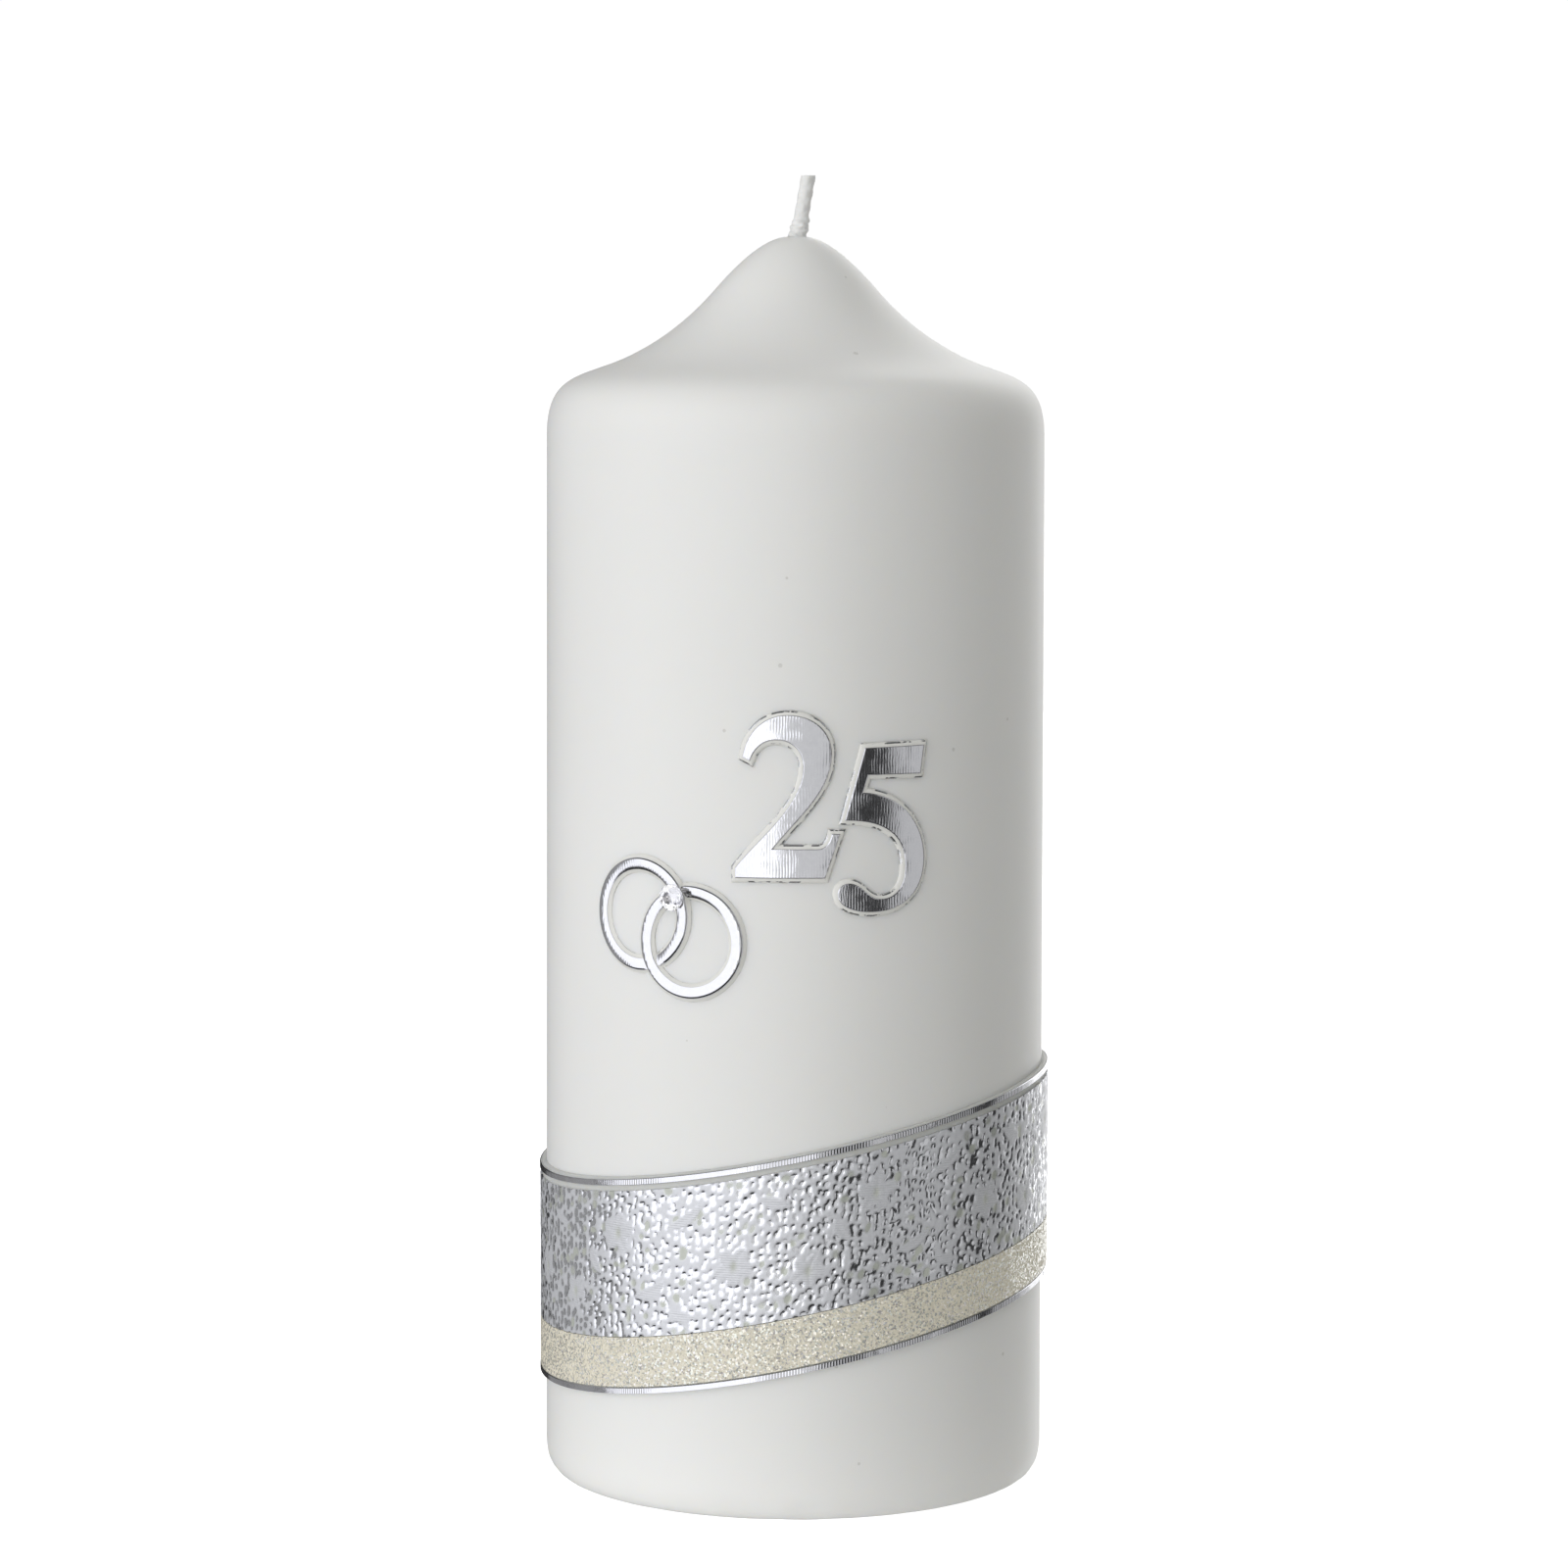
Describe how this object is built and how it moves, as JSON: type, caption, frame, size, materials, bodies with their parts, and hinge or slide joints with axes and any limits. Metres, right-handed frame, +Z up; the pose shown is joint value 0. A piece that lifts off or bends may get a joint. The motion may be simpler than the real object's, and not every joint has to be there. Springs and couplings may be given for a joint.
{
  "type": "decorated pillar candle",
  "caption": "White bell-topped pillar candle with silver anniversary numerals, linked rings with a stone, and a slanting silver relief and glitter band.",
  "frame": {"origin": "middle of the flat base, on the surface the candle stands on", "axes": "+Z up along the candle's axis; the decorated front faces -Y; the band is highest towards +X"},
  "size_m": [0.0726, 0.0727, 0.1835],
  "materials": {
    "core_wax": "plain pressed paraffin wax, white and matt",
    "dipped_wax": "white dipped candle wax, satin, slightly translucent",
    "waxed_cotton": "braided cotton soaked in wax",
    "ornament_wax": "pressed ornament wax, off-white and translucent at its edges",
    "silver_foil": "bright silver hot-stamped foil with fine cross lines",
    "relief_foil": "silver foil embossed with flowers on a pitted linen ground",
    "cream_glitter": "cream wax strip sprinkled with iridescent glitter",
    "stone_backing": "mirror foil behind the stone",
    "clear_stone": "clear cut glass"
  },
  "bodies": {
    "root": {"wax_core": "core_wax", "dipped_wax_coat": "dipped_wax", "wick": "waxed_cotton", "numeral_2_wax": "ornament_wax", "numeral_2_foil": "silver_foil", "numeral_5_wax": "ornament_wax", "numeral_5_foil": "silver_foil", "rings_wax": "ornament_wax", "left_ring_foil": "silver_foil", "right_ring_foil": "silver_foil", "rhinestone_foil_back": "stone_backing", "rhinestone": "clear_stone", "band_wax": "ornament_wax", "silver_relief_strip": "relief_foil", "glitter_strip": "cream_glitter", "upper_trim_wax": "ornament_wax", "upper_trim_foil": "silver_foil", "lower_trim_wax": "ornament_wax", "lower_trim_foil": "silver_foil"}
  },
  "joints": []
}
